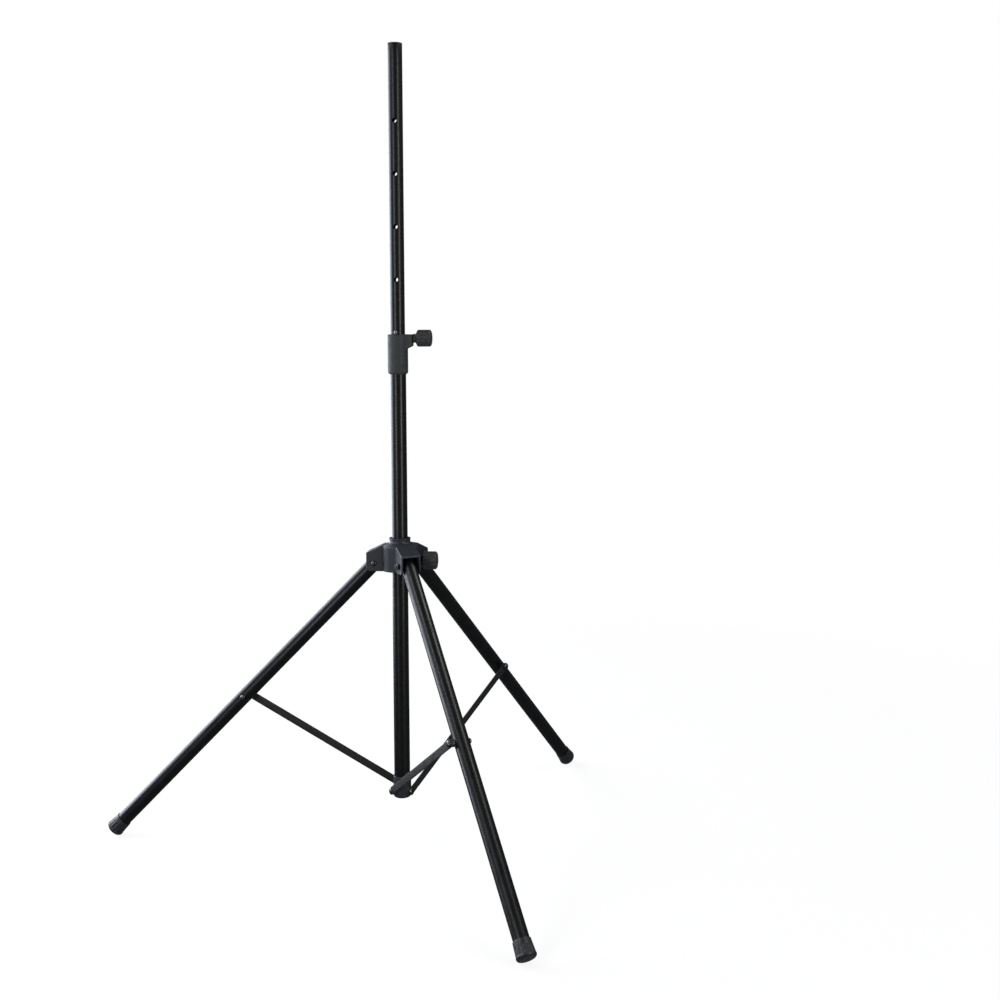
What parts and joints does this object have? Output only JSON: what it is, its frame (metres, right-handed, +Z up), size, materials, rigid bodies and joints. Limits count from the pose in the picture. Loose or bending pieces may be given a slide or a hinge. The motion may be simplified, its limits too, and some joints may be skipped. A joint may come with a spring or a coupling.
{
  "type": "loudspeaker tripod stand",
  "caption": "Folding tripod stand for a loudspeaker, with a telescopic pole, clamp knobs, a safety pin, a sliding leg hub, tube legs and flat struts.",
  "frame": {"origin": "on the floor, at the middle of the stand's footprint box with the legs open", "axes": "+Z up along the mast, +X the way the clamp knobs point, -Y the front"},
  "size_m": [1.1155, 1.2812, 1.92],
  "materials": {
    "tube_paint": "near-black semi-gloss powder coat",
    "strut_paint": "black satin powder coat on flat bar",
    "hub_cast": "dark blue-grey matte paint on a light-alloy casting",
    "collar_plastic": "charcoal moulded plastic with a fine grain",
    "knob_plastic": "charcoal moulded plastic",
    "foot_rubber": "black ribbed rubber",
    "pin_steel": "zinc-plated steel wire and pin",
    "fastener_zinc": "dark zinc-plated fasteners",
    "liner_plastic": "black nylon"
  },
  "bodies": {
    "lower_mast": {"lower_mast_tube": "tube_paint", "collar": "collar_plastic", "collar_insert": "fastener_zinc", "mast_boss": "hub_cast", "strut_1_screw": "fastener_zinc", "strut_2_screw": "fastener_zinc", "strut_3_screw": "fastener_zinc"},
    "pole_slider": {"pole_guide": "liner_plastic"},
    "pole": {"pole_tube": "tube_paint", "pole_cap": "liner_plastic"},
    "pin": {"safety_pin": "pin_steel"},
    "ring": {"pin_ring": "pin_steel"},
    "collar_shoe": {"collar_clamp_shoe": "liner_plastic"},
    "collar_screw": {"collar_clamp_stud": "fastener_zinc", "collar_clamp_knob": "knob_plastic"},
    "hub": {"hub_casting": "hub_cast", "hub_liner": "liner_plastic", "hub_insert": "fastener_zinc", "leg_1_hinge_bolt": "fastener_zinc", "leg_1_hinge_nut": "fastener_zinc", "leg_2_hinge_bolt": "fastener_zinc", "leg_2_hinge_nut": "fastener_zinc", "leg_3_hinge_bolt": "fastener_zinc", "leg_3_hinge_nut": "fastener_zinc"},
    "hub_shoe": {"hub_clamp_shoe": "liner_plastic"},
    "hub_screw": {"hub_clamp_stud": "fastener_zinc", "hub_clamp_knob": "knob_plastic"},
    "leg_1": {"leg_1_tube": "tube_paint", "leg_1_plug": "liner_plastic", "leg_1_foot": "foot_rubber", "leg_1_strut_bolt": "fastener_zinc", "leg_1_strut_spacer": "liner_plastic"},
    "strut_1": {"strut_1_bar": "strut_paint", "strut_1_rivet": "fastener_zinc"},
    "leg_2": {"leg_2_tube": "tube_paint", "leg_2_plug": "liner_plastic", "leg_2_foot": "foot_rubber", "leg_2_strut_bolt": "fastener_zinc", "leg_2_strut_spacer": "liner_plastic"},
    "strut_2": {"strut_2_bar": "strut_paint", "strut_2_rivet": "fastener_zinc"},
    "leg_3": {"leg_3_tube": "tube_paint", "leg_3_plug": "liner_plastic", "leg_3_foot": "foot_rubber", "leg_3_strut_bolt": "fastener_zinc", "leg_3_strut_spacer": "liner_plastic"},
    "strut_3": {"strut_3_bar": "strut_paint", "strut_3_rivet": "fastener_zinc"}
  },
  "joints": [
    {"name": "hub_slide", "type": "slide", "parent": "lower_mast", "child": "hub", "axis": [0, 0, 1], "range_m": [0, 0.35313]},
    {"name": "pole_slide", "type": "slide", "parent": "lower_mast", "child": "pole_slider", "axis": [0, 0, 1], "range_m": [0, 0.125]},
    {"name": "pole_turn", "type": "hinge", "parent": "pole_slider", "child": "pole", "pos_m": [0.18069, 0, 1.5], "axis": [0, 0, 1], "range_deg": [-45, 180]},
    {"name": "safety_pin_pull", "type": "slide", "parent": "pole", "child": "pin", "axis": [0, 1, 0], "range_m": [0, 0.06]},
    {"name": "pin_ring_swing", "type": "hinge", "parent": "pin", "child": "ring", "pos_m": [0.18069, 0.04, 1.2374], "axis": [1, 0, 0], "range_deg": [0, 170]},
    {"name": "leg_1_fold", "type": "hinge", "parent": "hub", "child": "leg_1", "pos_m": [0.21019, -0.0511, 0.6854], "axis": [0.866, 0.5, 0], "range_deg": [0, 44.57]},
    {"name": "strut_1_fold", "type": "hinge", "parent": "lower_mast", "child": "strut_1", "pos_m": [0.18069, 0, 0.129], "axis": [-0.866, -0.5, 0], "range_deg": [0, 52.35]},
    {"name": "leg_2_fold", "type": "hinge", "parent": "hub", "child": "leg_2", "pos_m": [0.21019, 0.0511, 0.6854], "axis": [-0.866, 0.5, 0], "range_deg": [0, 44.57]},
    {"name": "strut_2_fold", "type": "hinge", "parent": "lower_mast", "child": "strut_2", "pos_m": [0.18069, 0, 0.129], "axis": [0.866, -0.5, 0], "range_deg": [0, 52.35]},
    {"name": "leg_3_fold", "type": "hinge", "parent": "hub", "child": "leg_3", "pos_m": [0.12169, 0, 0.6854], "axis": [0, -1, 0], "range_deg": [0, 44.57]},
    {"name": "strut_3_fold", "type": "hinge", "parent": "lower_mast", "child": "strut_3", "pos_m": [0.18069, 0, 0.129], "axis": [0, 1, 0], "range_deg": [0, 52.35]},
    {"name": "collar_shoe_slide", "type": "slide", "parent": "lower_mast", "child": "collar_shoe", "axis": [1, 0, 0], "range_m": [0, 0.0025]},
    {"name": "collar_knob_turn", "type": "hinge", "parent": "collar_shoe", "child": "collar_screw", "pos_m": [0.23069, 0, 1.223], "axis": [1, 0, 0], "range_deg": [0, 720]},
    {"name": "hub_shoe_slide", "type": "slide", "parent": "hub", "child": "hub_shoe", "axis": [1, 0, 0], "range_m": [0, 0.0025]},
    {"name": "hub_knob_turn", "type": "hinge", "parent": "hub_shoe", "child": "hub_screw", "pos_m": [0.23069, 0, 0.6898], "axis": [1, 0, 0], "range_deg": [0, 720]}
  ],
  "couplings": [
    {"joint": "leg_1_fold", "follows": "hub_slide", "rad_per_m": 2.2023},
    {"joint": "strut_1_fold", "follows": "hub_slide", "rad_per_m": 2.5868},
    {"joint": "leg_2_fold", "follows": "hub_slide", "rad_per_m": 2.2023},
    {"joint": "strut_2_fold", "follows": "hub_slide", "rad_per_m": 2.5868},
    {"joint": "leg_3_fold", "follows": "hub_slide", "rad_per_m": 2.2023},
    {"joint": "strut_3_fold", "follows": "hub_slide", "rad_per_m": 2.5868},
    {"joint": "collar_knob_turn", "follows": "collar_shoe_slide", "rad_per_m": 5026.1},
    {"joint": "hub_knob_turn", "follows": "hub_shoe_slide", "rad_per_m": 5026.1}
  ]
}
